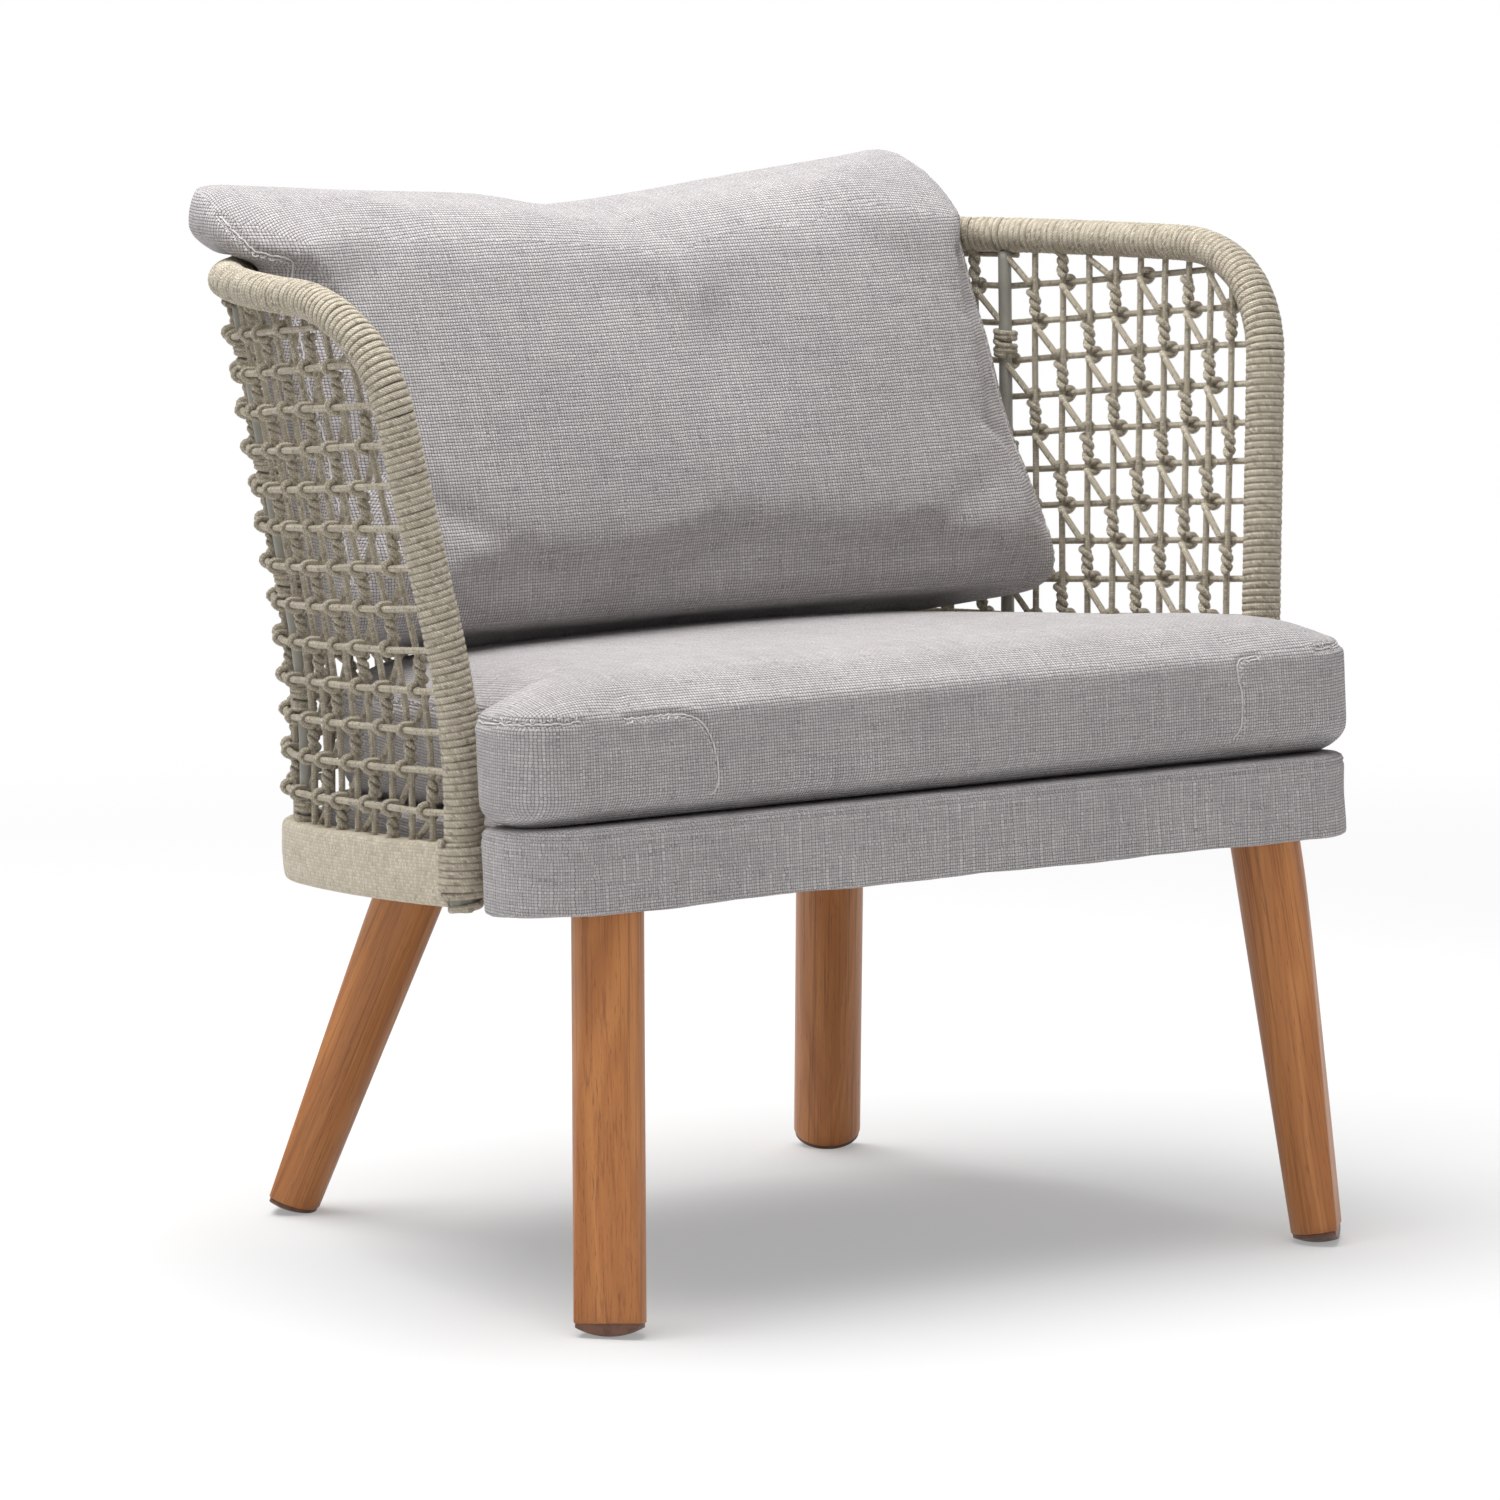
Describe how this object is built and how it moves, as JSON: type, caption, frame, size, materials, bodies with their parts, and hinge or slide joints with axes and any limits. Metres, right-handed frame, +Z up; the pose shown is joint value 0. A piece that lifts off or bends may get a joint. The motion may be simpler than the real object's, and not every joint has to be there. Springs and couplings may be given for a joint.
{
  "type": "armchair",
  "caption": "Low lounge armchair: woven rope tub on an oval wound rail, padded platform, splayed round timber legs, loose T-shaped seat cushion and leaning back cushion",
  "frame": {"origin": "on the floor, under the centre of the chair's outline", "axes": "+Z up, the chair's front faces -Y, +X is the sitter's left"},
  "size_m": [0.7984, 0.5979, 0.756],
  "materials": {
    "cushion_fabric": "warm grey melange plain weave",
    "platform_fabric": "warm grey melange plain weave, stretched",
    "dust_fabric": "black non-woven",
    "foam": "open-cell foam, hidden",
    "plywood": "birch plywood, hidden",
    "leg_wood": "oiled hardwood with fine vertical flecks",
    "glide_plastic": "dark brown, satin",
    "zinc_steel": "zinc plated",
    "belt_weave": "flat woven belt, straw",
    "rope": "spun rope, straw with darker flecks",
    "painted_frame": "powder coat, grey-green satin"
  },
  "bodies": {
    "chair_frame": {"rail_tube": "painted_frame", "rail_winding": "rope", "left_upright_winding": "rope", "right_upright_winding": "rope", "left_foot_wrap": "rope", "right_foot_wrap": "rope", "left_rear_bar": "painted_frame", "right_rear_bar": "painted_frame", "left_bar_ties": "rope", "right_bar_ties": "rope", "left_upright_ropes": "rope", "rear_upright_ropes": "rope", "right_upright_ropes": "rope", "row_ropes": "rope", "left_slant_ropes": "rope", "rear_slant_ropes": "rope", "right_slant_ropes": "rope", "base_ring": "painted_frame", "base_belt": "belt_weave", "ring_spacers": "painted_frame", "left_outrigger": "painted_frame", "right_outrigger": "painted_frame", "front_box_rail": "painted_frame", "rear_box_rail": "painted_frame", "left_box_rail": "painted_frame", "right_box_rail": "painted_frame", "seat_deck": "plywood", "deck_foam": "foam", "platform_cover": "platform_fabric", "dust_cover": "dust_fabric", "front_left_leg": "leg_wood", "front_right_leg": "leg_wood", "rear_left_leg": "leg_wood", "rear_right_leg": "leg_wood", "front_left_glide": "glide_plastic", "front_right_glide": "glide_plastic", "rear_left_glide": "glide_plastic", "rear_right_glide": "glide_plastic", "front_left_leg_plate": "painted_frame", "front_right_leg_plate": "painted_frame", "rear_left_leg_plate": "painted_frame", "rear_right_leg_plate": "painted_frame", "hanger_bolts": "zinc_steel", "glide_screws": "zinc_steel", "deck_screws": "zinc_steel"},
    "seat_cushion": {"seat_cushion": "cushion_fabric"},
    "back_cushion": {"back_cushion": "cushion_fabric"}
  },
  "joints": [
    {"name": "seat_cushion_lift", "type": "slide", "parent": "chair_frame", "child": "seat_cushion", "axis": [0, 0, 1], "range_m": [0, 0.15]},
    {"name": "back_cushion_lift", "type": "slide", "parent": "seat_cushion", "child": "back_cushion", "axis": [0, 0, 1], "range_m": [0, 0.25]}
  ]
}
